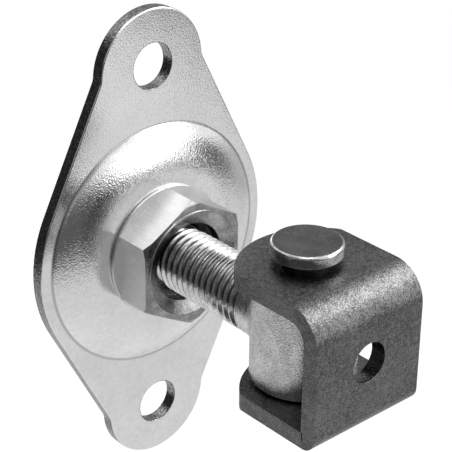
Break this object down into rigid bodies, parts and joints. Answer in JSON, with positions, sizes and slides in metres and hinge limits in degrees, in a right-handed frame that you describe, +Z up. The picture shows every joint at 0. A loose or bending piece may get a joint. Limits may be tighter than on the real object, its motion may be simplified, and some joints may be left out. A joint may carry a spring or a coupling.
{
  "type": "gate hinge",
  "caption": "Adjustable gate hinge: pressed wall plate with a turning nut, a threaded eye bolt and a U bracket that swings on an upright pin.",
  "frame": {"origin": "middle of the two fixing holes, in the plane of the wall plate's back", "axes": "+X along the bolt away from the wall, +Z up along the line of the fixing holes and parallel to the hinge pin"},
  "size_m": [0.0945, 0.085, 0.15],
  "materials": {
    "zinc_sheet": "bright zinc plate, slightly grained",
    "zinc_nut": "bright zinc plate, turned",
    "zinc_washer": "bright zinc plate",
    "zinc_bolt": "satin zinc plate over forged steel",
    "raw_steel": "dark raw hot-rolled steel",
    "pin_steel": "dark raw steel with a bright turned edge"
  },
  "bodies": {
    "wall_plate": {"back_plate": "zinc_sheet"},
    "adjuster": {"adjusting_nut": "zinc_nut", "swage_washer": "zinc_washer"},
    "eye": {"eye_bolt": "zinc_bolt"},
    "gate_bracket": {"bracket": "raw_steel", "hinge_pin": "pin_steel"}
  },
  "joints": [
    {"name": "nut_turn", "type": "hinge", "parent": "wall_plate", "child": "adjuster", "pos_m": [0, 0, 0], "axis": [1, 0, 0], "range_deg": [-1080, 360]},
    {"name": "eye_slide", "type": "slide", "parent": "wall_plate", "child": "eye", "axis": [1, 0, 0], "range_m": [-0.0025, 0.0075]},
    {"name": "bracket_swing", "type": "hinge", "parent": "eye", "child": "gate_bracket", "pos_m": [0.0695, 0, 0], "axis": [0, 0, 1], "range_deg": [-110, 110]}
  ],
  "couplings": [
    {"joint": "nut_turn", "follows": "eye_slide", "rad_per_m": -2513.3}
  ]
}
